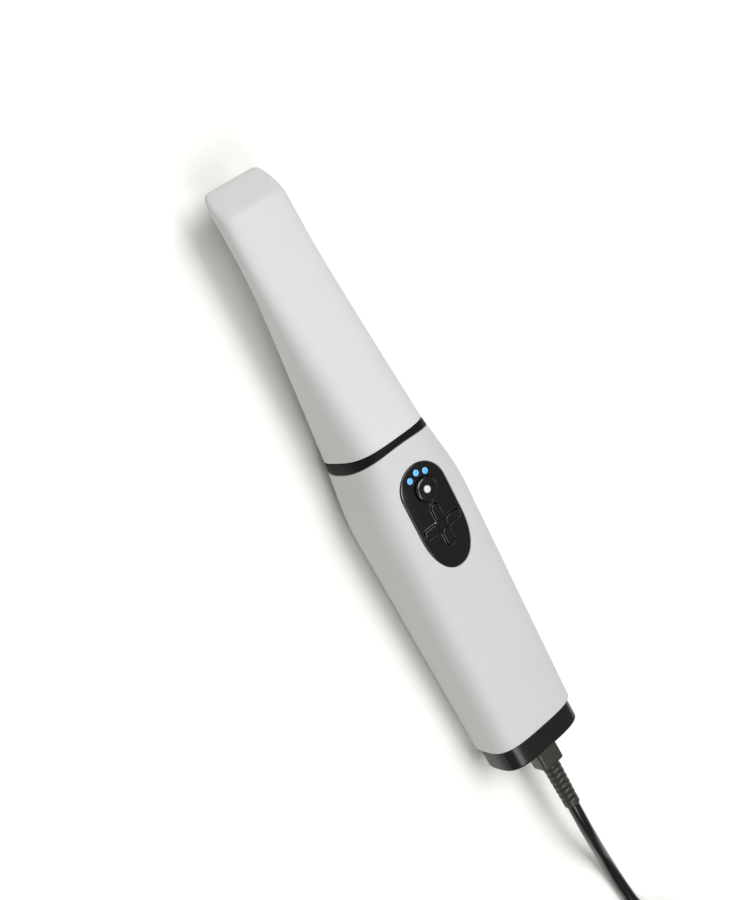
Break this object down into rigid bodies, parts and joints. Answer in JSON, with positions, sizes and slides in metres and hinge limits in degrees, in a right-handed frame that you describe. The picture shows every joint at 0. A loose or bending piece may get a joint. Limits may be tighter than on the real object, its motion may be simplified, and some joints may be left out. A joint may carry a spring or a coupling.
{
  "type": "intraoral scanner",
  "caption": "Slim hand-held wand that scans teeth: white tapered handle with a glossy black key panel, a removable hollow tip with a slanted nose, and a plugged-in cord.",
  "frame": {"origin": "on the surface, below the middle of the scanner from the nose to the end cap, the cord left out", "axes": "+X from the cord end to the nose, +Z out of the control panel, +Y to the left looking along +X"},
  "size_m": [0.4476, 0.0626, 0.0384],
  "materials": {
    "white_plastic": "fine satin moulded plastic",
    "glossy_black": "polished black plastic",
    "black_elastomer": "smooth dull cord jacket and moulding",
    "black_aluminium": "black anodised",
    "bare_aluminium": "milled",
    "steel": "plated sheet and pins",
    "mirror_coating": "front-surface mirror",
    "clear_glass": "coated optical glass",
    "circuit_board": "green solder mask",
    "chip_package": "moulded chip packages",
    "ribbon_film": "amber film",
    "blue_light": "lit diffuser lens",
    "white_light": "white diffuser",
    "white_mark": "white inlay",
    "strap_fabric": "woven strap"
  },
  "bodies": {
    "handpiece": {"body_shell": "white_plastic", "front_collar": "glossy_black", "rear_cap": "glossy_black", "control_panel": "glossy_black", "optics_snout": "black_aluminium", "camera_barrel_left": "black_aluminium", "camera_barrel_right": "black_aluminium", "projector_barrel": "black_aluminium", "optics_block": "bare_aluminium", "chassis": "bare_aluminium", "heat_sink": "bare_aluminium", "snout_window": "clear_glass", "camera_lens_left": "clear_glass", "camera_lens_right": "clear_glass", "projector_lens": "clear_glass", "tip_catch_left": "steel", "tip_catch_right": "steel", "cable_socket": "steel", "key_switches": "steel", "board_screw_1": "steel", "board_screw_2": "steel", "board_screw_3": "steel", "board_screw_4": "steel", "camera_board": "circuit_board", "main_board": "circuit_board", "socket_board": "circuit_board", "key_board": "circuit_board", "image_sensor_left": "chip_package", "image_sensor_right": "chip_package", "processor": "chip_package", "memory_chip_1": "chip_package", "memory_chip_2": "chip_package", "light_source": "white_mark", "indicator_lamps": "white_mark", "sensor_flex": "ribbon_film", "key_flex": "ribbon_film", "status_light_1": "blue_light", "status_light_2": "blue_light", "status_light_3": "blue_light"},
    "tip": {"tip_sleeve": "white_plastic", "tip_mirror": "mirror_coating"},
    "cord": {"cable_plug": "black_elastomer", "plug_shell": "steel", "plug_dot": "white_mark", "strain_relief": "black_elastomer", "cable": "black_elastomer", "cable_hank": "black_elastomer", "hank_tie": "strap_fabric", "cable_tail": "black_elastomer", "host_plug": "black_elastomer", "host_plug_shell": "steel"},
    "button": {"scan_button": "glossy_black", "button_light": "white_light"},
    "key_up": {"key_up": "glossy_black"},
    "key_down": {"key_down": "glossy_black"},
    "key_left": {"key_left": "glossy_black"},
    "key_right": {"key_right": "glossy_black"}
  },
  "joints": [
    {"name": "tip_slide", "type": "slide", "parent": "handpiece", "child": "tip", "axis": [1, 0, 0], "range_m": [0, 0.075]},
    {"name": "cord_plug_slide", "type": "slide", "parent": "handpiece", "child": "cord", "axis": [-1, 0, 0], "range_m": [0, 0.012]},
    {"name": "scan_button_travel", "type": "slide", "parent": "handpiece", "child": "button", "axis": [0, 0, -1], "range_m": [0, 0.0005], "stiffness_N_per_m": 600, "springref_m": -0.0005},
    {"name": "key_up_travel", "type": "slide", "parent": "handpiece", "child": "key_up", "axis": [0, 0, -1], "range_m": [0, 0.0003], "stiffness_N_per_m": 600, "springref_m": -0.0003},
    {"name": "key_down_travel", "type": "slide", "parent": "handpiece", "child": "key_down", "axis": [0, 0, -1], "range_m": [0, 0.0003], "stiffness_N_per_m": 600, "springref_m": -0.0003},
    {"name": "key_left_travel", "type": "slide", "parent": "handpiece", "child": "key_left", "axis": [0, 0, -1], "range_m": [0, 0.0003], "stiffness_N_per_m": 600, "springref_m": -0.0003},
    {"name": "key_right_travel", "type": "slide", "parent": "handpiece", "child": "key_right", "axis": [0, 0, -1], "range_m": [0, 0.0003], "stiffness_N_per_m": 600, "springref_m": -0.0003}
  ]
}
